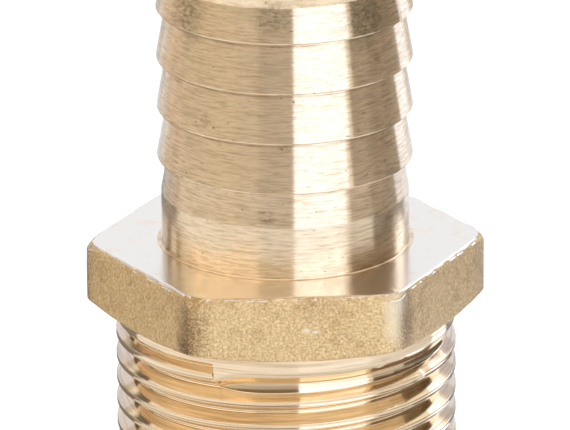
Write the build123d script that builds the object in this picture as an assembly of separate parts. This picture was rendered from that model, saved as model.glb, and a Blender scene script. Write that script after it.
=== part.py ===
from build123d import *
import os
from math import ceil, cos, radians, sin, tan

# Hose tail: a hose barb, a hexagon and a parallel pipe thread, turned from one brass forging.
# Millimetres. +Z runs along the water way towards the hose, the origin is the centre of the
# thread's end face, and one flat of the hexagon faces -Y. Angles are counted from -Y towards +X.

# Pipe thread G 1, right-handed and parallel: 11 threads to the inch, 55 degrees between flanks.
# The crests are turned a little under the nominal size.
THREAD_PITCH = 25.4 / 11
THREAD_NOMINAL_RADIUS = 33.249 / 2
THREAD_DEPTH = 0.6403 * THREAD_PITCH
THREAD_FLANK_ANGLE = 27.5
CREST_UNDERSIZE = 0.1245
THREAD_REACH = 17.4
THREAD_START_CHAMFER = 1.4

# Where the full thread ends, and the last turn that the lead tooth of the tool leaves:
# a slanting step down from the neck, then a gentle cone that widens into the lower flank.
# The opening is measured at the crests, the depth where the cone meets the lower flank.
FULL_THREAD_END_ANGLE = -25.0
FULL_THREAD_END_BELOW_HEX = 3.55
LAST_TURN_START_OPENING = 2.35
LAST_TURN_END_OPENING = 0.74
LAST_TURN_START_DEPTH = 1.0
LAST_TURN_END_DEPTH = 0.3
LAST_TURN_STEP_ANGLE = 35.0
LAST_TURN_CONE_ANGLE = 12.0
LAST_TURN_SECTIONS = 16

# Hexagon
HEX_ACROSS_FLATS = 34.0
HEX_HEIGHT = 6.5
HEX_CORNER_RADIUS = 1.8
HEX_TOP_CHAMFER_RADIUS = 18.7
HEX_TOP_CHAMFER_ANGLE = 30.0
HEX_BOTTOM_CHAMFER_RADIUS = 17.0
HEX_BOTTOM_CHAMFER_ANGLE = 17.0

# Hose barb: a plain collar, then saw-tooth rings, each a cone that widens towards the hexagon
COLLAR_RADIUS = 12.0
COLLAR_LENGTH = 5.2
BARB_CREST_RADIUS = 12.4
BARB_STEP = 0.88
BARB_PITCH = 5.0
BARB_COUNT = 4
FIRST_STEP_ABOVE_HEX = 8.7
TIP_LENGTH = 4.05
TIP_CHAMFER = 0.6

# Water way
BORE_RADIUS = 10.0
BORE_CHAMFER = 0.5

# Cutters run this far past the surfaces that they open
OVERCUT = 1.0

# Angle of -Y from +X
FRONT = -90.0

crest_radius = THREAD_NOMINAL_RADIUS - CREST_UNDERSIZE
thread_pitch_radius = THREAD_NOMINAL_RADIUS - THREAD_DEPTH / 2
root_radius = THREAD_NOMINAL_RADIUS - THREAD_DEPTH
hex_bottom = THREAD_REACH
hex_top = hex_bottom + HEX_HEIGHT
full_thread_end = hex_bottom - FULL_THREAD_END_BELOW_HEX
barb_root_radius = BARB_CREST_RADIUS - BARB_STEP
tip_top = hex_top + FIRST_STEP_ABOVE_HEX + (BARB_COUNT - 1) * BARB_PITCH + TIP_LENGTH


def barb_outline():
    """Half section of the hose end, from the axis at the hexagon's mid height to the tip."""
    base = hex_bottom + HEX_HEIGHT / 2
    points = [(0, base), (COLLAR_RADIUS, base), (COLLAR_RADIUS, hex_top + COLLAR_LENGTH)]
    for index in range(BARB_COUNT):
        step = hex_top + FIRST_STEP_ABOVE_HEX + index * BARB_PITCH
        points += [(barb_root_radius, step), (BARB_CREST_RADIUS, step)]
    tip_radius = BARB_CREST_RADIUS - BARB_STEP * TIP_LENGTH / BARB_PITCH
    points += [(tip_radius, tip_top - TIP_CHAMFER), (tip_radius - TIP_CHAMFER, tip_top), (0, tip_top)]
    return points


def hose_end():
    """Collar and barbs, turned."""
    half_section = make_face(Plane.XZ * Polyline(*barb_outline(), close=True))
    return revolve(half_section, Axis.Z)


def chamfer_envelope():
    """Double cone that trims the corners of the hexagon."""
    rim = HEX_ACROSS_FLATS / 2 / cos(radians(30)) + OVERCUT
    top_drop = (rim - HEX_TOP_CHAMFER_RADIUS) * tan(radians(HEX_TOP_CHAMFER_ANGLE))
    bottom_rise = (rim - HEX_BOTTOM_CHAMFER_RADIUS) * tan(radians(HEX_BOTTOM_CHAMFER_ANGLE))
    points = [
        (0, hex_bottom),
        (HEX_BOTTOM_CHAMFER_RADIUS, hex_bottom),
        (rim, hex_bottom + bottom_rise),
        (rim, hex_top - top_drop),
        (HEX_TOP_CHAMFER_RADIUS, hex_top),
        (0, hex_top),
    ]
    return revolve(make_face(Plane.XZ * Polyline(*points, close=True)), Axis.Z)


def hexagon():
    """Forged hexagon with rounded corners, a flat towards -Y, its corners trimmed by cones."""
    outline = RegularPolygon(HEX_ACROSS_FLATS / 2, 6, major_radius=False)
    outline = fillet(outline.vertices(), HEX_CORNER_RADIUS)
    prism = extrude(Plane.XY.offset(hex_bottom) * outline, HEX_HEIGHT)
    return prism & chamfer_envelope()


def full_groove_half_width(radius):
    """Half the axial width of a full groove where it is cut at this radius."""
    widening = (radius - thread_pitch_radius) * tan(radians(THREAD_FLANK_ANGLE))
    return THREAD_PITCH / 4 + widening


def full_groove_section(middle):
    """V of a full groove, cut flat at the root and open past the crest, as (radius, height)."""
    outside = crest_radius + OVERCUT
    root_half = full_groove_half_width(root_radius)
    mouth_half = full_groove_half_width(outside)
    return [
        (root_radius, middle - root_half),
        (root_radius, middle + root_half),
        (outside, middle + mouth_half),
        (outside, middle - mouth_half),
    ]


def full_groove():
    """Helical cutter from below the thread's end up to where the full thread stops."""
    turns = ceil((full_thread_end + OVERCUT) / THREAD_PITCH) + 1
    start = full_thread_end - turns * THREAD_PITCH
    section = make_face(Plane.XZ * Polyline(*full_groove_section(start), close=True))
    path = Pos(0, 0, start) * Helix(THREAD_PITCH, turns * THREAD_PITCH, thread_pitch_radius)
    groove = sweep(section, path=path, is_frenet=True)
    return Rot(0, 0, FULL_THREAD_END_ANGLE + FRONT) * groove


def last_turn_section(turn):
    """Shallow cut at this share of the last turn: step, cone, lower flank."""
    widening = tan(radians(LAST_TURN_CONE_ANGLE))
    fall = tan(radians(LAST_TURN_STEP_ANGLE))
    opening = LAST_TURN_START_OPENING + turn * (LAST_TURN_END_OPENING - LAST_TURN_START_OPENING)
    depth = LAST_TURN_START_DEPTH + turn * (LAST_TURN_END_DEPTH - LAST_TURN_START_DEPTH)
    middle = full_thread_end + turn * THREAD_PITCH
    outside = crest_radius + OVERCUT
    foot_radius = crest_radius - depth
    foot = middle - full_groove_half_width(foot_radius)
    step = middle - full_groove_half_width(crest_radius) + opening
    cone_length = (step - foot - depth * fall) / (1 + widening * fall)
    profile = [
        (foot_radius, foot),
        (foot_radius - cone_length * widening, foot + cone_length),
        (outside, step + OVERCUT * fall),
        (outside, middle - full_groove_half_width(outside)),
    ]
    angle = radians(FRONT + FULL_THREAD_END_ANGLE + turn * 360)
    corners = [(radius * cos(angle), radius * sin(angle), height) for radius, height in profile]
    return make_face(Polyline(*corners, close=True))


def last_turn():
    """Cutter for the one turn that the lead tooth leaves above the full thread."""
    sections = [last_turn_section(index / LAST_TURN_SECTIONS) for index in range(LAST_TURN_SECTIONS + 1)]
    return loft(sections)


def thread_envelope():
    """Outside of the threaded end: a plain cylinder with a chamfered start."""
    outside = crest_radius + OVERCUT
    points = [
        (0, 0),
        (crest_radius - THREAD_START_CHAMFER, 0),
        (outside, THREAD_START_CHAMFER + OVERCUT),
        (outside, hex_bottom),
        (0, hex_bottom),
    ]
    return revolve(make_face(Plane.XZ * Polyline(*points, close=True)), Axis.Z)


def threaded_end():
    """The grooves are cut in a blank that is longer than the thread, which is then faced off."""
    blank_bottom = -3 * THREAD_PITCH - OVERCUT
    blank_length = hex_bottom - blank_bottom
    blank = Pos(0, 0, blank_bottom + blank_length / 2) * Cylinder(crest_radius, blank_length)
    return (blank - full_groove() - last_turn()) & thread_envelope()


def water_way():
    """Through bore with a small chamfer at each mouth."""
    points = [
        (0, -OVERCUT),
        (BORE_RADIUS + BORE_CHAMFER + OVERCUT, -OVERCUT),
        (BORE_RADIUS, BORE_CHAMFER),
        (BORE_RADIUS, tip_top - BORE_CHAMFER),
        (BORE_RADIUS + BORE_CHAMFER + OVERCUT, tip_top + OVERCUT),
        (0, tip_top + OVERCUT),
    ]
    return revolve(make_face(Plane.XZ * Polyline(*points, close=True)), Axis.Z)


hose_tail = hose_end() + hexagon() + threaded_end() - water_way()

os.makedirs("parts", exist_ok=True)
export_step(hose_tail, "parts/hose_tail.step")
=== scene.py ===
from math import atan2, ceil, cos, degrees, inf, pi, radians, sin, sqrt, tan

import bpy
import bmesh
from mathutils import Matrix, Vector, noise


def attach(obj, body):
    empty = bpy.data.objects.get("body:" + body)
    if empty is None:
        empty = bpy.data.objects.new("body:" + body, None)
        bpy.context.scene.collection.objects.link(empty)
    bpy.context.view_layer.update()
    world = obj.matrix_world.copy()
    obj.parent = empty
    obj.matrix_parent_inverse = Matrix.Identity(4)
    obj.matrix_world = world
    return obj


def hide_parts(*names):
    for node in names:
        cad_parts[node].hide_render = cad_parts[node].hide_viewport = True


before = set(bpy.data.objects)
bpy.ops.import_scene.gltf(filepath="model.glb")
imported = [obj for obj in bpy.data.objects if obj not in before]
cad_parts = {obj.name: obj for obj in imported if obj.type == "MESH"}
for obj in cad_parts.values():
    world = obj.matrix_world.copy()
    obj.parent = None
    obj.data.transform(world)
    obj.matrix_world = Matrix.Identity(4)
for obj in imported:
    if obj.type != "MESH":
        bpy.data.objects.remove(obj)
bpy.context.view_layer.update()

# A hose tail turned from one brass forging. The frame is in metres; the sizes below are in mm.
# The origin is the centre of the thread's end face, +Z runs towards the hose, and one flat of
# the hexagon faces -Y. Angles called front angles are counted from -Y towards +X, in degrees.
MM = 0.001

# Pipe thread G 1
THREAD_PITCH = 25.4 / 11
FLANK_ANGLE = 27.5
THREAD_NOMINAL_RADIUS = 33.249 / 2
THREAD_DEPTH = 0.6403 * THREAD_PITCH
CREST_RADIUS = 16.5
CREST_ROUNDING = 0.1
CREST_LIP = 0.04
ROOT_ROUNDING = 0.1373 * THREAD_PITCH
START_CHAMFER = 1.4
END_FACE_RIMS = (14.0, 12.0)

# Where the full thread ends, and the turn above it. Its opening is measured at the crests, its
# depth where the cone meets the lower flank. It rises a little faster than the thread, and over
# the lead, a share of the turn, it grows out of the full groove.
FULL_THREAD_END_ANGLE = -28.0
FULL_THREAD_END_BELOW_HEX = 3.55
LAST_TURN_START_OPENING = 2.35
LAST_TURN_END_OPENING = 1.02
LAST_TURN_START_DEPTH = 1.0
LAST_TURN_END_DEPTH = 0.76
LAST_TURN_STEP_ANGLE = 35.0
LAST_TURN_CONE_ANGLE = 12.0
LAST_TURN_RISE = 0.2
LAST_TURN_LEAD = 0.04
LAST_TURN_FOOT_ROUNDING = 0.15
LAST_TURN_STEP_ROUNDING = 0.05
NECK_START_CHAMFER = 0.7
NECK_END_CHAMFER = 0.06
NECK_CHAMFER_ANGLE = 60.0
NECK_EDGE_ROUNDING = 0.08

# Hexagon
HEX_BOTTOM = 17.4
HEX_HEIGHT = 6.5
ACROSS_FLATS = 34.0
HEX_CORNER_RADIUS = 1.8
HEX_TOP_CHAMFER_RADIUS = 18.7
HEX_TOP_CHAMFER_SLOPE = tan(radians(30.0))
HEX_BOTTOM_CHAMFER_RADIUS = 17.0
HEX_BOTTOM_CHAMFER_SLOPE = tan(radians(17.0))

# The hexagon's rims, from the collar down. For the edges: how far each rim lies inside the
# outline, and how far from the chamfer's surface.
TOP_FACE_SHARES = (0.25, 0.5, 0.75, 1.0)
TOP_EDGE_RIMS = ((0.3, 0.0), (0.1, 0.02), (0.03, 0.07), (0.0, 0.16))
FLAT_SHARES = (0.0, 0.2, 0.4, 0.6, 0.8, 1.0)
FLAT_MARGIN = 0.3
BOTTOM_EDGE_RIMS = ((0.0, 0.15), (0.04, 0.05), (0.14, 0.0), (0.25, 0.0))
NECK_TOP_ROUNDING = 0.12

# Collar, barbs, tip and water way
COLLAR_RADIUS = 12.0
COLLAR_LENGTH = 5.2
COLLAR_TOP_ROUNDING = 1.5
COLLAR_FOOT_ROUNDING = 0.14
BARB_CREST = 12.4
BARB_STEP = 0.88
BARB_PITCH = 5.0
BARB_COUNT = 4
BARB_EDGE_ROUNDING = 0.16
BARB_ROOT_ROUNDING = 0.06
BARB_CHIP_DEPTH = 0.05
FIRST_STEP_ABOVE_HEX = 8.7
TIP_LENGTH = 4.05
TIP_CHAMFER = 0.6
TIP_TOP_ROUNDING = 0.15
TIP_SIDE_ROUNDING = 0.25
BORE_RADIUS = 10.0
BORE_CHAMFER = 0.5
BORE_ROUNDING = 0.1
BORE_TOP_ROUNDING = 0.08

# Torn spots on the thread: front angle, height and size
THREAD_BURRS = (
    (27.5, 14.9, 0.5), (31.1, 15.9, 0.4), (48.6, 13.4, 0.5), (33.5, 11.3, 0.5), (36.5, 11.4, 0.4))
BURR_HEIGHT = 0.2
BURR_REACH = 0.4

hex_top = HEX_BOTTOM + HEX_HEIGHT
full_thread_end = HEX_BOTTOM - FULL_THREAD_END_BELOW_HEX
first_step = hex_top + FIRST_STEP_ABOVE_HEX
tip_top = first_step + (BARB_COUNT - 1) * BARB_PITCH + TIP_LENGTH
thread_pitch_radius = THREAD_NOMINAL_RADIUS - THREAD_DEPTH / 2

# Faces round the axis; column 0 lies where the full thread ends. The neck's mesh is welded to the
# body's last rim, just under the hexagon.
COLUMNS = 288
WELD_HEIGHT = HEX_BOTTOM - NECK_TOP_ROUNDING
WELD_DISTANCE = 0.002


def column_angle(column):
    """Angle of a column of points from +X, in radians."""
    return radians(FULL_THREAD_END_ANGLE - 90 + 360 * column / COLUMNS)


def place(radius, angle, height):
    """Point in metres from a radius and height in mm."""
    return Vector((radius * cos(angle), radius * sin(angle), height)) * MM


def arc(centre, radius, start, end, count):
    """Points (radius, height) of an arc whose surface normal turns from start to end degrees.
    A positive radius gives a convex edge, a negative one a hollow."""
    points = []
    for index in range(count):
        turn = radians(start + (end - start) * index / (count - 1))
        points.append((centre[0] + radius * cos(turn), centre[1] + radius * sin(turn)))
    return points


def rounded_corner(corner, start, end, radius, count):
    """Rounds the corner between two straight runs with these normals, in degrees. The radius is
    positive for an edge and negative for a hollow."""
    half = radians(end - start) / 2
    middle = radians(start + end) / 2
    reach = radius / cos(half)
    centre = (corner[0] - reach * cos(middle), corner[1] - reach * sin(middle))
    return arc(centre, radius, start, end, count)


# ---------------------------------------------------------------- hexagon in polar form
def hex_radius(angle, inset=0.0):
    """Distance from the axis to the rounded hexagon's outline, moved inwards by an inset."""
    apothem = ACROSS_FLATS / 2 - inset
    corner_radius = max(HEX_CORNER_RADIUS - inset, 0.3)
    from_flat = abs((degrees(angle) + 90 + 30) % 60 - 30)
    centre = (apothem - corner_radius) / cos(radians(30))
    tangent = degrees(atan2((apothem - corner_radius) * tan(radians(30)), apothem))
    if from_flat <= tangent:
        return apothem / cos(radians(from_flat))
    from_corner = radians(30 - from_flat)
    return centre * cos(from_corner) + sqrt(corner_radius ** 2 - (centre * sin(from_corner)) ** 2)


def edge_wear(angle, layer, size, strength):
    """Smooth unevenness of an edge, from -strength to strength mm; each layer has its own."""
    where = Vector((cos(angle), sin(angle), layer)) * (CREST_RADIUS / size)
    return strength * noise.noise(where)


def hex_top_drop(radius):
    """How far the upper chamfer lies below the hexagon's top at this radius."""
    return max(0.0, radius - HEX_TOP_CHAMFER_RADIUS) * HEX_TOP_CHAMFER_SLOPE


def hex_bottom_rise(radius):
    """How far the lower chamfer lies above the hexagon's underside at this radius."""
    return max(0.0, radius - HEX_BOTTOM_CHAMFER_RADIUS) * HEX_BOTTOM_CHAMFER_SLOPE


def top_face_rim(share):
    """Rim of the hexagon's top, at a share of the way from the collar to the edge."""
    inner = COLLAR_RADIUS + 0.5
    return lambda angle: (inner + (hex_radius(angle, 0.6) - inner) * share, hex_top)


def top_edge_rim(inset, drop):
    """Rim of the hexagon's upper edge, burred and dented."""
    def rim(angle):
        radius = hex_radius(angle, inset)
        burr_out = edge_wear(angle, 1.0, 1.3, 0.07) + edge_wear(angle, 5.0, 0.5, 0.06) - 0.12
        sag = edge_wear(angle, 7.0 + drop, 0.8, 0.06) - 0.06
        height = hex_top - hex_top_drop(radius) - drop + (sag if drop else 0.0)
        return radius + burr_out, height
    return rim


def flat_rim(share):
    """Rim of the hexagon's sides, at a share of the way down; forged sides swell a little."""
    def rim(angle):
        radius = hex_radius(angle)
        low = HEX_BOTTOM + hex_bottom_rise(radius) + FLAT_MARGIN
        high = hex_top - hex_top_drop(radius) - FLAT_MARGIN
        swell = edge_wear(angle, 10 + share, 5.0, 0.03) - 0.03
        return radius + swell, high + (low - high) * share
    return rim


def bottom_edge_rim(inset, rise):
    """Rim of the hexagon's lower edge."""
    def rim(angle):
        radius = hex_radius(angle, inset)
        dent = edge_wear(angle, 20.0, 1.6, 0.03) - 0.03
        return radius + dent, HEX_BOTTOM + hex_bottom_rise(radius) + rise
    return rim


def underside_rim(angle):
    """Rim of the hexagon's underside, inside the chamfer."""
    return min(hex_radius(angle, 0.4), HEX_BOTTOM_CHAMFER_RADIUS - 0.15), HEX_BOTTOM


def hex_rims():
    """Rims from the foot of the collar over the hexagon to the neck: functions that give
    (radius, height) at an angle."""
    rims = [top_face_rim(share) for share in TOP_FACE_SHARES]
    rims += [top_edge_rim(inset, drop) for inset, drop in TOP_EDGE_RIMS]
    rims += [flat_rim(share) for share in FLAT_SHARES]
    rims += [bottom_edge_rim(inset, rise) for inset, rise in BOTTOM_EDGE_RIMS]
    rims.append(underside_rim)
    neck = rounded_corner((CREST_RADIUS, HEX_BOTTOM), -90, 0, -NECK_TOP_ROUNDING, 4)
    rims += [lambda angle, point=point: point for point in neck]
    return rims


# ---------------------------------------------------------------- turned surfaces
def turned_profile():
    """Half section from the thread's end face through the bore and over the barbs to the collar's
    foot, as (radius, height). The surface normal turns from down to inwards, up and outwards."""
    slope = degrees(atan2(BARB_STEP, BARB_PITCH))
    points = [(radius, 0.0) for radius in END_FACE_RIMS]
    points += rounded_corner((BORE_RADIUS + BORE_CHAMFER, 0.0), 270, 225, BORE_ROUNDING, 3)
    points += rounded_corner((BORE_RADIUS, BORE_CHAMFER), 225, 180, BORE_ROUNDING, 3)
    points += [(BORE_RADIUS, tip_top * share) for share in (0.2, 0.4, 0.6, 0.8)]
    points += rounded_corner((BORE_RADIUS, tip_top - BORE_CHAMFER), 180, 135, BORE_ROUNDING, 3)
    points += rounded_corner((BORE_RADIUS + BORE_CHAMFER, tip_top), 135, 90, BORE_TOP_ROUNDING, 3)
    tip_radius = BARB_CREST - BARB_STEP * TIP_LENGTH / BARB_PITCH
    points += rounded_corner((tip_radius - TIP_CHAMFER, tip_top), 90, 45, TIP_TOP_ROUNDING, 4)
    points += rounded_corner((tip_radius, tip_top - TIP_CHAMFER), 45, slope, TIP_SIDE_ROUNDING, 4)
    for index in reversed(range(BARB_COUNT)):
        step = first_step + index * BARB_PITCH
        if index < BARB_COUNT - 1:
            points.append((BARB_CREST - BARB_STEP * 0.5, step + BARB_PITCH * 0.5))
        points += rounded_corner((BARB_CREST, step), slope, -88, BARB_EDGE_ROUNDING, 6)
        root = (BARB_CREST - BARB_STEP, step - 0.03)
        points += rounded_corner(root, -88, slope, -BARB_ROOT_ROUNDING, 4)
    collar_top = (COLLAR_RADIUS, hex_top + COLLAR_LENGTH)
    points.append((COLLAR_RADIUS - 0.25, collar_top[1] + 1.4))
    points += rounded_corner(collar_top, 8, 0, COLLAR_TOP_ROUNDING, 3)
    points.append((COLLAR_RADIUS, hex_top + COLLAR_LENGTH / 2))
    points += rounded_corner((COLLAR_RADIUS, hex_top), 0, 90, -COLLAR_FOOT_ROUNDING, 5)
    points.append((COLLAR_RADIUS + COLLAR_FOOT_ROUNDING + 0.3, hex_top))
    return points


def chipped(point, angle):
    """Takes small chips out of the barbs' sharp edges."""
    radius, height = point
    if radius < BARB_CREST - 0.1:
        return point
    return radius - BARB_CHIP_DEPTH * max(0.0, edge_wear(angle, height, 1.0, 1.0)) ** 2, height


def raise_rim(piece, rim):
    """Extrudes the selected rim and puts each new point where the rim says."""
    bpy.ops.mesh.extrude_edges_move()
    mesh = bmesh.from_edit_mesh(piece.data)
    for point in mesh.verts:
        if point.select:
            angle = atan2(point.co.y, point.co.x)
            radius, height = rim(angle)
            point.co = place(radius, angle, height)
    bmesh.update_edit_mesh(piece.data)


def turned_body():
    """A ring at the thread's end face, extruded rim by rim to the neck under the hexagon."""
    bpy.ops.object.select_all(action="DESELECT")
    bpy.ops.mesh.primitive_circle_add(vertices=COLUMNS, radius=CREST_RADIUS * MM)
    piece = bpy.context.object
    for point in piece.data.vertices:
        point.co = place(CREST_RADIUS - START_CHAMFER, column_angle(point.index), 0)
    bpy.ops.object.mode_set(mode="EDIT")
    bpy.ops.mesh.select_mode(type="EDGE")
    bpy.ops.mesh.select_all(action="SELECT")
    for point in turned_profile():
        raise_rim(piece, lambda angle, point=point: chipped(point, angle))
    for rim in hex_rims():
        raise_rim(piece, rim)
    bpy.ops.object.mode_set(mode="OBJECT")
    return piece


# ---------------------------------------------------------------- thread
def groove_half_width(radius):
    """Half the axial width of a full groove at this radius."""
    return THREAD_PITCH / 4 + (radius - thread_pitch_radius) * tan(radians(FLANK_ANGLE))


def crest_edge(height, side):
    """Edge of a crest with the small lip that the tool throws up; side is 1 where the crest lies
    below the groove and -1 where it lies above."""
    tilt = 90 - FLANK_ANGLE
    lip = rounded_corner((CREST_RADIUS + CREST_LIP, height), 0, side * tilt, CREST_ROUNDING, 4)
    foot = (CREST_RADIUS, lip[0][1] - side * CREST_LIP * 2)
    return [foot] + lip if side > 0 else (lip[::-1] + [foot])


def full_groove(middle):
    """One full groove, from the middle of the crest below to the middle of the crest above."""
    tilt = 90 - FLANK_ANGLE
    half = groove_half_width(CREST_RADIUS + CREST_LIP)
    sharp_root = thread_pitch_radius - THREAD_PITCH / 4 / tan(radians(FLANK_ANGLE))
    points = [(CREST_RADIUS, middle - THREAD_PITCH / 2)]
    points += crest_edge(middle - half, 1)
    points += rounded_corner((sharp_root, middle), tilt, -tilt, -ROOT_ROUNDING, 7)
    points += crest_edge(middle + half, -1)
    points.append((CREST_RADIUS, middle + THREAD_PITCH / 2))
    return points


def last_groove(turn):
    """Groove and neck at this share of the last turn, where the tool's short lead tooth leaves a
    slanting step under the neck and a gentle cone that widens into the lower flank."""
    tilt = 90 - FLANK_ANGLE
    step_tilt = LAST_TURN_STEP_ANGLE - 90
    widening = tan(radians(LAST_TURN_CONE_ANGLE))
    fall = tan(radians(LAST_TURN_STEP_ANGLE))
    opening = LAST_TURN_START_OPENING + turn * (LAST_TURN_END_OPENING - LAST_TURN_START_OPENING)
    depth = LAST_TURN_START_DEPTH + turn * (LAST_TURN_END_DEPTH - LAST_TURN_START_DEPTH)
    lead = max(0.0, 1 - turn / LAST_TURN_LEAD) ** 2
    opening += lead * (2 * groove_half_width(CREST_RADIUS) - opening)
    depth += lead * (CREST_RADIUS - THREAD_NOMINAL_RADIUS + THREAD_DEPTH - depth)
    middle = full_thread_end + turn * (THREAD_PITCH + LAST_TURN_RISE)
    foot_radius = CREST_RADIUS - depth
    foot = middle - groove_half_width(foot_radius)
    step = middle - groove_half_width(CREST_RADIUS) + opening
    cone_length = (step - foot - depth * fall) / (1 + widening * fall)
    cone_end = (foot_radius - cone_length * widening, foot + cone_length)
    points = [(CREST_RADIUS, full_thread_end + (turn - 0.5) * THREAD_PITCH)]
    points += crest_edge(middle - groove_half_width(CREST_RADIUS + CREST_LIP), 1)
    points += rounded_corner((foot_radius, foot), tilt, LAST_TURN_CONE_ANGLE,
                             -LAST_TURN_FOOT_ROUNDING, 5)
    points += rounded_corner(cone_end, LAST_TURN_CONE_ANGLE, step_tilt,
                             -LAST_TURN_STEP_ROUNDING, 4)
    chamfer = NECK_START_CHAMFER + turn * (NECK_END_CHAMFER - NECK_START_CHAMFER)
    chamfer += lead * (NECK_END_CHAMFER - chamfer)
    chamfer_tilt = NECK_CHAMFER_ANGLE - 90
    points += rounded_corner((CREST_RADIUS - chamfer, step - chamfer * fall),
                             step_tilt, chamfer_tilt, LAST_TURN_STEP_ROUNDING, 3)
    step += chamfer * (tan(radians(NECK_CHAMFER_ANGLE)) - fall)
    points += rounded_corner((CREST_RADIUS, step), chamfer_tilt, 0, NECK_EDGE_ROUNDING, 3)
    points += [(CREST_RADIUS, step + (WELD_HEIGHT - step) * share) for share in (0.5, 1.0)]
    return points


def start_of_thread(radius, height):
    """Trims a point to the chamfered end of the thread."""
    if height <= 0:
        return CREST_RADIUS - START_CHAMFER, 0.0
    return min(radius, CREST_RADIUS - START_CHAMFER + height), height


def burr(radius, angle, height):
    """Small torn lumps of metal on the crests and the neck, as extra radius."""
    if radius <= CREST_RADIUS - BURR_REACH:
        return 0.0
    extra = 0.0
    for front, level, size in THREAD_BURRS:
        turn = radians(front - 90) - angle
        across = CREST_RADIUS * (turn - 2 * pi * round(turn / (2 * pi)))
        near = max(0.0, 1 - sqrt(across ** 2 + (height - level) ** 2) / size)
        extra += BURR_HEIGHT * near * (1 + noise.noise(Vector((across, height, 0)) * 4))
    return extra


def full_grooves(column):
    """Full grooves at a column, from the lowest, which is cut off by the thread's end, upwards."""
    climb = full_thread_end + THREAD_PITCH * column / COLUMNS
    count = ceil((full_thread_end + THREAD_PITCH) / THREAD_PITCH)
    return [full_groove(climb - turn * THREAD_PITCH) for turn in range(count, 0, -1)]


def add_column(points, column, profile):
    """Adds a profile (radius, height) at a column to the points and returns their numbers."""
    angle = column_angle(column)
    first = len(points)
    for radius, height in profile:
        radius, height = start_of_thread(radius + burr(radius, angle, height), height)
        points.append(place(radius, angle, height))
    return list(range(first, len(points)))


def strip(left, right):
    """Faces between two columns with the same count of points."""
    return [(left[row], right[row], right[row + 1], left[row + 1]) for row in range(len(left) - 1)]


def zipped(points, left, right):
    """Triangles between two columns that share their ends but not their count of points."""
    faces = []
    at_left = at_right = 0
    while at_left < len(left) - 1 or at_right < len(right) - 1:
        left_next = points[left[at_left + 1]].z if at_left < len(left) - 1 else inf
        right_next = points[right[at_right + 1]].z if at_right < len(right) - 1 else inf
        if left_next <= right_next:
            faces.append((left[at_left], right[at_right], left[at_left + 1]))
            at_left += 1
        else:
            faces.append((left[at_left], right[at_right], right[at_right + 1]))
            at_right += 1
    return faces


def threaded_neck():
    """The helical thread and the neck above it. A thread that runs out isn't a form that the
    screw or the spin gives, so its columns of points are laid by formula, turn on turn."""
    points = []
    faces = []
    columns = []
    for column in range(COLUMNS):
        profiles = full_grooves(column) + [last_groove(column / COLUMNS)]
        columns.append([add_column(points, column, profile) for profile in profiles])
    for here, beyond in zip(columns, columns[1:]):
        for left, right in zip(here, beyond):
            faces += strip(left, right)

    # the last column joins the first one turn higher; the topmost full groove and the last turn
    # stop just short of it, at a wall that is zipped between the profiles that meet there
    for left, right in zip(columns[-1], columns[0][1:-1]):
        faces += strip(left, right)
    end = COLUMNS - 0.3
    last_full = add_column(points, end, full_grooves(end)[-1])
    last_cut = add_column(points, end, last_groove(end / COLUMNS))
    faces += strip(columns[-1][-2], last_full)
    faces += strip(columns[-1][-1], last_cut)
    beyond = columns[0][-1]
    points[last_full[0]] = points[beyond[0]]
    points[last_cut[-1]] = points[beyond[-1]]
    points[last_cut[0]] = points[last_full[-1]]
    faces += zipped(points, last_full + last_cut[1:], beyond)

    mesh = bpy.data.meshes.new("thread")
    mesh.from_pydata(points, [], faces)
    piece = bpy.data.objects.new("thread", mesh)
    bpy.context.collection.objects.link(piece)
    return piece


def hose_tail_mesh():
    """The turned body and the threaded neck, welded into one closed piece."""
    body = turned_body()
    thread = threaded_neck()
    bpy.ops.object.select_all(action="DESELECT")
    thread.select_set(True)
    body.select_set(True)
    bpy.context.view_layer.objects.active = body
    bpy.ops.object.join()
    bpy.ops.object.mode_set(mode="EDIT")
    bpy.ops.mesh.select_all(action="SELECT")
    bpy.ops.mesh.remove_doubles(threshold=WELD_DISTANCE * MM)
    bpy.ops.mesh.normals_make_consistent(inside=False)
    bpy.ops.object.mode_set(mode="OBJECT")
    bpy.ops.object.shade_smooth_by_angle(angle=radians(40))
    weighted = body.modifiers.new("weighted", "WEIGHTED_NORMAL")
    weighted.keep_sharp = True
    bpy.ops.object.modifier_apply(modifier=weighted.name)
    body.name = "hose_tail_brass"
    body.data.name = body.name
    return body


# ---------------------------------------------------------------- materials
BRASS = "#F4DAB4"
BRASS_RICH = "#F4D9B1"
# The faced top's pale tone is a painted highlight
BRASS_PALE_PAINTED_HIGHLIGHT = "#F3E9DA"
BRASS_DULL = "#AE8C62"
FORGED_SKIN = ("#FFE0A6", "#E4BC86")
FORGED_DIMPLES = ("#C59C68", "#A67E50")
DUST = "#C4B08C"
# The dark tone of the pits, also used for the painted shade line under each barb's edge
OIL_AND_PAINTED_SHADE = "#6A5236"
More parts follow.
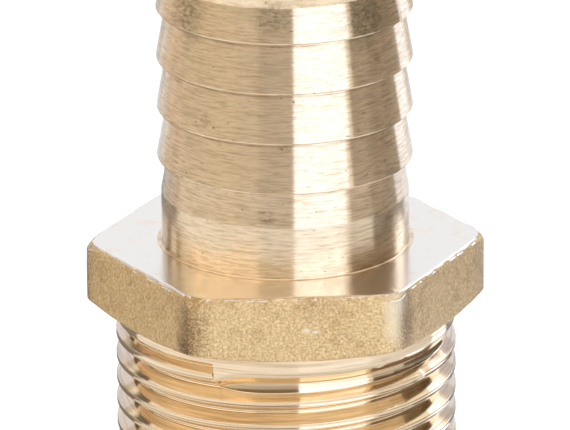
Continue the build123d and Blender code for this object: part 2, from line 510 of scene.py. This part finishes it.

# Marks: distance from the axis, height, front angle, radius, stretch along the axis, colour
# On the hexagon, the broad dark marks round the left front corner and just right of the right front
# corner are painted shade, and the pale marks at the right front corner are a painted highlight
HEXAGON_MARKS_AND_PAINTED_LIGHT = (
    (18.9, 20.5, -31.5, 2.3, 2.2, "#8E6C44"), (18.9, 18.6, -34.0, 1.6, 1.0, "#7A5A38"),
    (18.9, 22.4, 30.5, 1.7, 1.3, "#FFEFCC"), (18.9, 20.3, 29.5, 1.3, 1.6, "#FFE8BC"),
    (18.6, 20.5, 35.5, 2.0, 2.4, "#A07A4E"), (17.0, 20.6, 3.5, 0.5, 0.5, "#FFF2DC"),
    (17.1, 20.4, 6.5, 0.5, 0.5, "#FFF2DC"), (18.9, 18.3, -32.5, 0.4, 1.0, "#4A3420"))
BARB_MARKS = (
    (12.1, 49.3, -53.0, 2.8, 1.4, "#8E8262"), (12.0, 50.2, -8.0, 2.8, 0.7, "#9A8E70"),
    (12.1, 49.3, 37.0, 3.6, 1.2, "#968A6C"), (12.2, 37.8, -26.0, 0.4, 0.6, "#5A4228"),
    (12.1, 41.1, -32.4, 0.6, 1.0, "#9A7A52"), (12.2, 39.2, -41.6, 0.7, 1.4, "#A98A60"),
    (11.8, 30.6, -13.9, 0.5, 0.4, "#5A4228"), (11.8, 30.6, -9.7, 0.4, 0.5, "#5A4228"),
    (11.9, 29.9, -11.5, 1.2, 0.4, "#9A7A52"), (12.1, 44.9, 44.0, 0.6, 0.8, "#A98A60"))

# The thin line of painted shade under each barb's edge: how far below it and how wide, in mm
SHADE_LINE_BELOW_EDGE = 0.4
SHADE_LINE_HALF_WIDTHS = (0.04, 0.14)

# Numbers of the sockets that a Mix node has for colours
MIX_LOW = 6
MIX_HIGH = 7
MIX_RESULT = 2


def colour(text):
    """sRGB hex to linear RGBA."""
    channels = [int(text[index:index + 2], 16) / 255 for index in (1, 3, 5)]
    linear = [c / 12.92 if c <= 0.04045 else ((c + 0.055) / 1.055) ** 2.4 for c in channels]
    return (*linear, 1.0)


def add_node(tree, kind, settings=None, links=None):
    """Adds a node. Settings are its properties and its sockets' values, and links feed its
    sockets; a socket goes by its name or its number."""
    made = tree.nodes.new(kind)
    for name, value in (settings or {}).items():
        if isinstance(name, int) or name in made.inputs:
            made.inputs[name].default_value = value
        else:
            setattr(made, name, value)
    for name, source in (links or {}).items():
        tree.links.new(source, made.inputs[name])
    return made


def new_material(name):
    material = bpy.data.materials.new(name)
    material.use_nodes = True
    material.node_tree.nodes.clear()
    return material


def remap(tree, factor, low, high, from_low=0.0, from_high=1.0):
    """Maps a factor from one range to another and holds it at the ends."""
    ranges = {"From Min": from_low, "From Max": from_high, "To Min": low, "To Max": high}
    return add_node(tree, "ShaderNodeMapRange", ranges, {"Value": factor}).outputs["Result"]


def mix_colours(tree, factor, low, high):
    """Mixes two colours, each a socket or hex text, by a factor."""
    settings = {"data_type": "RGBA"}
    links = {"Factor": factor}
    for socket, tone in ((MIX_LOW, low), (MIX_HIGH, high)):
        if isinstance(tone, str):
            settings[socket] = colour(tone)
        else:
            links[socket] = tone
    return add_node(tree, "ShaderNodeMix", settings, links).outputs[MIX_RESULT]


def stretched_noise(tree, scale, detail, roughness):
    """Noise from the place on the object, with so many lumps to the mm along each axis."""
    place_of = add_node(tree, "ShaderNodeTexCoord").outputs["Object"]
    size = [value / MM for value in scale]
    where = add_node(tree, "ShaderNodeMapping", {"Scale": size}, {"Vector": place_of})
    settings = {"Scale": 1.0, "Detail": detail, "Roughness": roughness}
    links = {"Vector": where.outputs["Vector"]}
    return add_node(tree, "ShaderNodeTexNoise", settings, links).outputs["Fac"]


def spot(tree, distance, height, angle, radius, stretch):
    """1 at a place given by its distance from the axis, height and front angle, falling to 0 at a
    radius in mm; the spot is stretched along the axis."""
    place_of = add_node(tree, "ShaderNodeTexCoord").outputs["Object"]
    centre = place(distance, radians(angle - 90), height)
    away = add_node(tree, "ShaderNodeVectorMath", {"operation": "SUBTRACT", 1: centre}, {0: place_of})
    size = (1 / MM, 1 / MM, 1 / MM / stretch)
    scaled = add_node(tree, "ShaderNodeVectorMath", {"operation": "MULTIPLY", 1: size},
                      {0: away.outputs["Vector"]})
    length = add_node(tree, "ShaderNodeVectorMath", {"operation": "LENGTH"},
                      {0: scaled.outputs["Vector"]})
    return remap(tree, length.outputs["Value"], 1.0, 0.0, radius * 0.2, radius)


def marked(tree, tone, marks, speckle):
    """Lays speckled marks (distance, height, front angle, radius, stretch, colour) over a tone; some
    of the hexagon's marks are painted shade and some painted highlights.
    """
    for *where, text in marks:
        here = add_node(tree, "ShaderNodeMath", {"operation": "MULTIPLY"},
                        {0: spot(tree, *where), 1: speckle})
        tone = mix_colours(tree, here.outputs["Value"], tone, text)
    return tone


def painted_shade_under_barbs(tree):
    """Up to 0.6 on the thin line of painted shade under each barb's edge."""
    place_of = add_node(tree, "ShaderNodeTexCoord").outputs["Object"]
    height = add_node(tree, "ShaderNodeSeparateXYZ", links={"Vector": place_of}).outputs["Z"]
    top = first_step + BARB_COUNT * BARB_PITCH
    barbs = remap(tree, height, 0.0, BARB_COUNT, first_step * MM, top * MM)
    share = add_node(tree, "ShaderNodeMath", {"operation": "FRACT"}, {0: barbs})
    line = 1 - SHADE_LINE_BELOW_EDGE / BARB_PITCH
    away = add_node(tree, "ShaderNodeMath", {"operation": "SUBTRACT", 1: line},
                    {0: share.outputs["Value"]})
    size = add_node(tree, "ShaderNodeMath", {"operation": "ABSOLUTE"}, {0: away.outputs["Value"]})
    inner, outer = SHADE_LINE_HALF_WIDTHS
    return remap(tree, size.outputs["Value"], 0.6, 0.0, inner / BARB_PITCH, outer / BARB_PITCH)


def brass_shader(material, tone, rough, height, depth, blur=0.0):
    """Finishes a brass material. Tone, roughness and height are sockets, and the height is worth
    a depth in mm. Blur is how much more a tool's lines round the axis smear the mirror image up
    and down than sideways."""
    tree = material.node_tree
    bump = add_node(tree, "ShaderNodeBump", {"Distance": depth * MM}, {"Height": height})
    round_axis = add_node(tree, "ShaderNodeTangent", {"direction_type": "RADIAL", "axis": "Z"})
    settings = {"Metallic": 1.0, "Anisotropic": blur, "Anisotropic Rotation": 0.25}
    links = {"Base Color": tone, "Roughness": rough, "Normal": bump.outputs["Normal"],
             "Tangent": round_axis.outputs["Tangent"]}
    shader = add_node(tree, "ShaderNodeBsdfPrincipled", settings, links)
    add_node(tree, "ShaderNodeOutputMaterial", links={"Surface": shader.outputs["BSDF"]})
    return material


def turned_brass():
    """Brass turned on a lathe: bright, with fine lines round the axis that blur what it mirrors
    up and down but not sideways. Handling left it dusty in patches, with a few pits, and a thin
    line of painted shade darkens it under each barb's edge."""
    material = new_material("turned_brass")
    tree = material.node_tree
    lines = stretched_noise(tree, (0.5, 0.5, 5.0), 4.0, 0.7)
    tone = mix_colours(tree, remap(tree, lines, 0.0, 1.0, 0.45, 0.85), BRASS, BRASS_DULL)
    patches = stretched_noise(tree, (0.3, 0.3, 0.8), 5.0, 0.75)
    tone = mix_colours(tree, remap(tree, patches, 0.0, 0.5, 0.5, 0.75), tone, DUST)
    pits = stretched_noise(tree, (1.6, 1.6, 3.0), 2.0, 0.5)
    tone = mix_colours(tree, remap(tree, pits, 0.0, 0.8, 0.7, 0.76), tone, OIL_AND_PAINTED_SHADE)
    # Painted shade: a thin darker line under each barb's edge, patchy along its length
    patchy = remap(tree, patches, 0.35, 0.7, 0.4, 0.6)
    under = add_node(tree, "ShaderNodeMath", {"operation": "MULTIPLY"},
                     {0: painted_shade_under_barbs(tree), 1: patchy})
    tone = mix_colours(tree, under.outputs["Value"], tone, OIL_AND_PAINTED_SHADE)
    mottle = stretched_noise(tree, (1.6, 1.6, 3.2), 5.0, 0.8)
    tone = marked(tree, tone, BARB_MARKS, remap(tree, mottle, 0.05, 1.0, 0.4, 0.62))
    return brass_shader(material, tone, remap(tree, lines, 0.16, 0.24), lines, 0.004, 1.0)


def threaded_brass():
    """Brass cut by the thread chaser: the lines are finer and longer, the mirror image clearer."""
    material = new_material("threaded_brass")
    tree = material.node_tree
    lines = stretched_noise(tree, (0.08, 0.08, 7.0), 4.0, 0.7)
    tone = mix_colours(tree, remap(tree, lines, 0.0, 1.0, 0.45, 0.85), BRASS_RICH, BRASS_DULL)
    return brass_shader(material, tone, remap(tree, lines, 0.07, 0.14), lines, 0.0015, 0.7)


def faced_brass():
    """The hexagon's top, faced on the lathe: smooth and nearly a mirror, its tone paled as a painted
    highlight.
    """
    material = new_material("faced_brass")
    tree = material.node_tree
    lines = stretched_noise(tree, (0.5, 0.5, 0.5), 3.0, 0.6)
    tone = mix_colours(tree, remap(tree, lines, 0.0, 1.0, 0.55, 0.85), BRASS_PALE_PAINTED_HIGHLIGHT, BRASS)
    return brass_shader(material, tone, remap(tree, lines, 0.16, 0.24), lines, 0.002)


def blasted_brass():
    """Forged brass, shot-blasted: small overlapping dimples that sparkle, soft brown patches where
    the forging's skin stays, and corners that handling rubbed smoother. Painted shade darkens the
    left front corner and the flat just right of the right front corner, and a painted highlight
    lightens the right front corner."""
    material = new_material("blasted_brass")
    tree = material.node_tree
    grain = stretched_noise(tree, (4.0, 4.0, 4.0), 5.0, 0.85)
    patches = stretched_noise(tree, (0.45, 0.45, 0.45), 4.0, 0.7)
    patchy = remap(tree, patches, 0.0, 1.0, 0.5, 0.75)
    skin = mix_colours(tree, patchy, *FORGED_SKIN)
    dimples = mix_colours(tree, patchy, *FORGED_DIMPLES)
    tone = mix_colours(tree, remap(tree, grain, 0.0, 1.0, 0.4, 0.62), skin, dimples)
    # The marks lay painted shade round the left front corner and right of the right front corner, and
    # a painted highlight at the right front corner
    tone = marked(tree, tone, HEXAGON_MARKS_AND_PAINTED_LIGHT, remap(tree, grain, 0.35, 1.0, 0.4, 0.55))
    place_of = add_node(tree, "ShaderNodeTexCoord").outputs["Object"]
    flat_place = add_node(tree, "ShaderNodeVectorMath",
                          {"operation": "MULTIPLY", 1: (1 / MM, 1 / MM, 0)}, {0: place_of})
    distance = add_node(tree, "ShaderNodeVectorMath", {"operation": "LENGTH"},
                        {0: flat_place.outputs["Vector"]})
    rubbed = remap(tree, distance.outputs["Value"], 0.0, -0.2, 18.3, 18.95)
    rough = add_node(tree, "ShaderNodeMath", {"operation": "ADD"},
                     {0: remap(tree, grain, 0.34, 0.46), 1: rubbed})
    return brass_shader(material, tone, rough.outputs["Value"], grain, 0.1)


# Numbers of the piece's materials; a new face has number 0, the turned brass
FACED = 1
BLASTED = 2
THREADED = 3


def assign_materials(tail):
    """Turned by default, faced and blasted on the hexagon, threaded below it."""
    for material in (turned_brass(), faced_brass(), blasted_brass(), threaded_brass()):
        tail.data.materials.append(material)
    for face in tail.data.polygons:
        centre = face.center / MM
        distance = Vector((centre.x, centre.y)).length
        on_hexagon = HEX_BOTTOM - 0.02 < centre.z < hex_top + 0.02
        if on_hexagon and distance > COLLAR_RADIUS + 0.3:
            flat_side = abs(face.normal.z) < 0.8 and distance > CREST_RADIUS + 0.2
            face.material_index = BLASTED if flat_side else FACED
        elif centre.z < WELD_HEIGHT and distance > BORE_RADIUS + 1:
            face.material_index = THREADED


# ---------------------------------------------------------------- studio
# Panels that the metal mirrors, round the part: name, first and last angle from the camera's side,
# anticlockwise from above, lowest and highest elevation seen from the part, colour and level
PANEL_DISTANCE = 1.5
PANELS = (
    ("grey_back_left", -180, -148, -14, 2, "#D0D0D2", 0.9),
    ("pale_left", -148, -136, -14, 2, "#E8ECF4", 1.0),
    ("rose_left", -136, -128, -14, 2, "#E0D6D2", 1.0),
    ("rose_band", -128, -122, -14, 2, "#EADFD8", 1.0),
    ("rose_right", -122, -104, -14, 2, "#E2D6D0", 1.0),
    ("tan_wall", -104, -24, -14, 2, "#D6CFC3", 1.0),
    ("grey_wall", -24, 8, -14, 2, "#CFCBC9", 1.0),
    ("softbox", 8, 58, -14, 2, "#D6E2FF", 2.3),
    ("dark_flag_a", 62, 80, -14, -1.5, "#D8D0CA", 1.0),
    ("dark_flag_b", 80, 100, -14, -4, "#D8D0CA", 1.0),
    ("dark_flag_c", 100, 124, -14, -6.5, "#D8D0CA", 1.0),
    ("dark_rim_a", 62, 80, -1.5, 13, "#665D55", 1.0),
    ("dark_rim_b", 80, 100, -4, 13, "#665D55", 1.0),
    ("dark_rim_c", 100, 124, -6.5, 3, "#5E554D", 1.0),
    ("rim_top", 100, 124, 3, 13, "#948A80", 1.0),
    ("window", 124, 143, -14, 2, "#D6E2FF", 1.9),
    ("grey_back_right", 150, 180, -14, 2, "#D0D0D2", 0.9),
    ("dark_post_far", -143, -133, 2, 38, "#6A6460", 1.0),
    ("left_rail", -128, -44, 2, 13, "#A08E74", 1.0),
    ("dark_rail", -44, 8, 2, 13, "#78685A", 1.0),
    ("softbox_middle", 8, 58, 2, 13, "#D6E2FF", 2.7),
    ("window_top", 124, 143, 2, 38, "#D6E2FF", 2.4),
    ("dark_post_near", -121, -116, 13, 38, "#6A6460", 1.0),
    ("left_wall", -98, -24, 13, 38, "#FFFAF4", 1.45),
    ("front_wall", -24, 8, 13, 38, "#F4F0EA", 1.0),
    ("softbox_top", 8, 58, 13, 38, "#D6E2FF", 2.6),
    ("dark_flag_top", 62, 124, 13, 38, "#8C837C", 1.0),
    ("back_wall_right", 163, 180, 13, 38, "#EBF2FF", 1.14),
    ("back_wall_left", -180, -163, 13, 38, "#EBF2FF", 1.14),
    ("right_back_light", 144, 163, 27, 50, "#D6E2FF", 2.2),
    ("right_back_grey", 146, 163, 16, 27, "#CDD3EC", 1.0),
    ("right_back_edge", 146, 163, 4, 16, "#D6E2FF", 1.2),
    ("left_back_grey", -163, -146, 21, 45, "#D2CED2", 1.0),
    ("left_back_pale", -163, -146, 4, 21, "#D2D8F0", 1.2),
    ("overhead", -180, 180, 52, 72, "#EAF0FF", 1.35),
)

# Cards on the table that only the metal mirrors, each part of a ring: name, distance and angle of
# the ring's middle, first and last direction, inner and outer radius, colour and level
CARDS = (
    ("left_card", 16.5, -62, -180, -123, 10, 110, "#8E8C8A", 1.0),
    ("right_card", 18.5, 60, 90, 150, 47, 110, "#6E6A66", 1.0),
    ("bright_card", 16.5, 59, 119, 142, 3, 44, "#D6E2FF", 2.2),
    ("far_right_card", 16.5, 70, 142, 200, 3, 44, "#9A9CA6", 1.0),
)
CARD_HEIGHT = 0.5
CARD_STEPS = 12

# The table: its glow for the camera and for mirror images, and what the camera sees on top
FLOOR_RADIUS = 150.0
FLOOR_GAP = 0.02
FLOOR_GLOW = 0.15
FLOOR_CAMERA_GLOW = 0.3

CAMERA_FRONT_ANGLE = -3.03
CAMERA_ELEVATION = 19.886
CAMERA_DISTANCE = 690.4
CAMERA_AIM = (-0.038, 0.002, 26.163)
CAMERA_ROLL = -0.337
FOCAL_LENGTH = 450.0


def towards(angle):
    """Level direction at an angle from the camera's side, anticlockwise from above."""
    turned = radians(CAMERA_FRONT_ANGLE - 90 + angle)
    return Vector((cos(turned), sin(turned), 0.0))


def glowing_sheet(name, points, faces, text, level):
    """Sheet of light for the studio that the camera doesn't see."""
    mesh = bpy.data.meshes.new(name)
    mesh.from_pydata(points, [], faces)
    sheet = bpy.data.objects.new(name, mesh)
    bpy.context.collection.objects.link(sheet)
    material = new_material(name)
    tree = material.node_tree
    glow = add_node(tree, "ShaderNodeEmission", {"Color": colour(text), "Strength": level})
    add_node(tree, "ShaderNodeOutputMaterial", links={"Surface": glow.outputs["Emission"]})
    mesh.materials.append(material)
    sheet.visible_camera = False
    return sheet


def panel(name, start, end, low, high, text, level):
    """Upright curved panel."""
    steps = max(2, round(abs(end - start) / 4))
    points = []
    for index in range(steps + 1):
        heading = towards(start + (end - start) * index / steps)
        for lift in (low, high):
            points.append(PANEL_DISTANCE * (heading + Vector((0, 0, tan(radians(lift))))))
    faces = [(2 * step, 2 * step + 2, 2 * step + 3, 2 * step + 1) for step in range(steps)]
    glowing_sheet(name, points, faces, text, level)


def table_card(name, distance, angle, start, end, inner, outer, text, level):
    """Card on the table, outside the camera's view, that lights nothing and casts no shadow."""
    middle = towards(angle) * distance * MM
    points = []
    for index in range(CARD_STEPS + 1):
        heading = towards(start + (end - start) * index / CARD_STEPS)
        for radius in (inner, outer):
            points.append(middle + heading * radius * MM + Vector((0, 0, CARD_HEIGHT)) * MM)
    faces = [(2 * step, 2 * step + 1, 2 * step + 3, 2 * step + 2) for step in range(CARD_STEPS)]
    card = glowing_sheet(name, points, faces, text, level)
    card.visible_diffuse = False
    card.visible_shadow = False


def studio_world():
    """An even white surround."""
    world = bpy.data.worlds.new("studio")
    world.use_nodes = True
    background = world.node_tree.nodes["Background"]
    background.inputs["Color"].default_value = colour("#FFFFFF")
    background.inputs["Strength"].default_value = 1.0
    bpy.context.scene.world = world


def studio_floor():
    """A round white glossy table that stays white and keeps the part's shadow. What looks at it,
    directly or in a mirror image, sees it a little brighter than the light makes it."""
    bpy.ops.object.select_all(action="DESELECT")
    bpy.ops.mesh.primitive_circle_add(vertices=96, radius=FLOOR_RADIUS * MM, fill_type="NGON")
    floor = bpy.context.object
    floor.name = "floor"
    for point in floor.data.vertices:
        point.co.z = -FLOOR_GAP * MM
    material = new_material("white_table")
    tree = material.node_tree
    paint = add_node(tree, "ShaderNodeBsdfPrincipled",
                     {"Base Color": colour("#E8EEF6"), "Roughness": 0.12})
    rays = add_node(tree, "ShaderNodeLightPath").outputs
    seen = add_node(tree, "ShaderNodeMath", {"operation": "MAXIMUM"},
                    {0: rays["Is Camera Ray"], 1: rays["Is Glossy Ray"]})
    seen = add_node(tree, "ShaderNodeMath", {"operation": "MAXIMUM"},
                    {0: seen.outputs["Value"], 1: rays["Is Transmission Ray"]})
    seen = add_node(tree, "ShaderNodeMath", {"operation": "MULTIPLY", 1: FLOOR_GLOW},
                    {0: seen.outputs["Value"]})
    lift = add_node(tree, "ShaderNodeMath", {"operation": "MULTIPLY_ADD", 1: FLOOR_CAMERA_GLOW},
                    {0: rays["Is Camera Ray"], 2: seen.outputs["Value"]})
    glow = add_node(tree, "ShaderNodeEmission", {"Color": colour("#FFFFFF")},
                    {"Strength": lift.outputs["Value"]})
    total = add_node(tree, "ShaderNodeAddShader", links={
        0: paint.outputs["BSDF"], 1: glow.outputs["Emission"]})
    add_node(tree, "ShaderNodeOutputMaterial", links={"Surface": total.outputs["Shader"]})
    floor.data.materials.append(material)


def camera():
    """A long lens, a little above the part and turned a few degrees off the hexagon's flat."""
    heading = radians(CAMERA_FRONT_ANGLE - 90)
    lift = radians(CAMERA_ELEVATION)
    outwards = Vector((cos(heading) * cos(lift), sin(heading) * cos(lift), sin(lift)))
    right = Vector((-sin(heading), cos(heading), 0.0))
    up = outwards.cross(right)
    roll = radians(CAMERA_ROLL)
    right, up = cos(roll) * right + sin(roll) * up, cos(roll) * up - sin(roll) * right
    data = bpy.data.cameras.new("camera")
    data.lens = FOCAL_LENGTH
    made = bpy.data.objects.new("camera", data)
    bpy.context.collection.objects.link(made)
    axes = Matrix((right, up, outwards)).transposed().to_4x4()
    stand = (Vector(CAMERA_AIM) + outwards * CAMERA_DISTANCE) * MM
    made.matrix_world = Matrix.Translation(stand) @ axes
    bpy.context.scene.camera = made


tail = hose_tail_mesh()
assign_materials(tail)
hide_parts("hose_tail")
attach(tail, "root")
studio_world()
studio_floor()
for card in CARDS:
    table_card(*card)
for sheet in PANELS:
    panel(*sheet)
camera()
bpy.context.scene.view_settings.view_transform = "Standard"
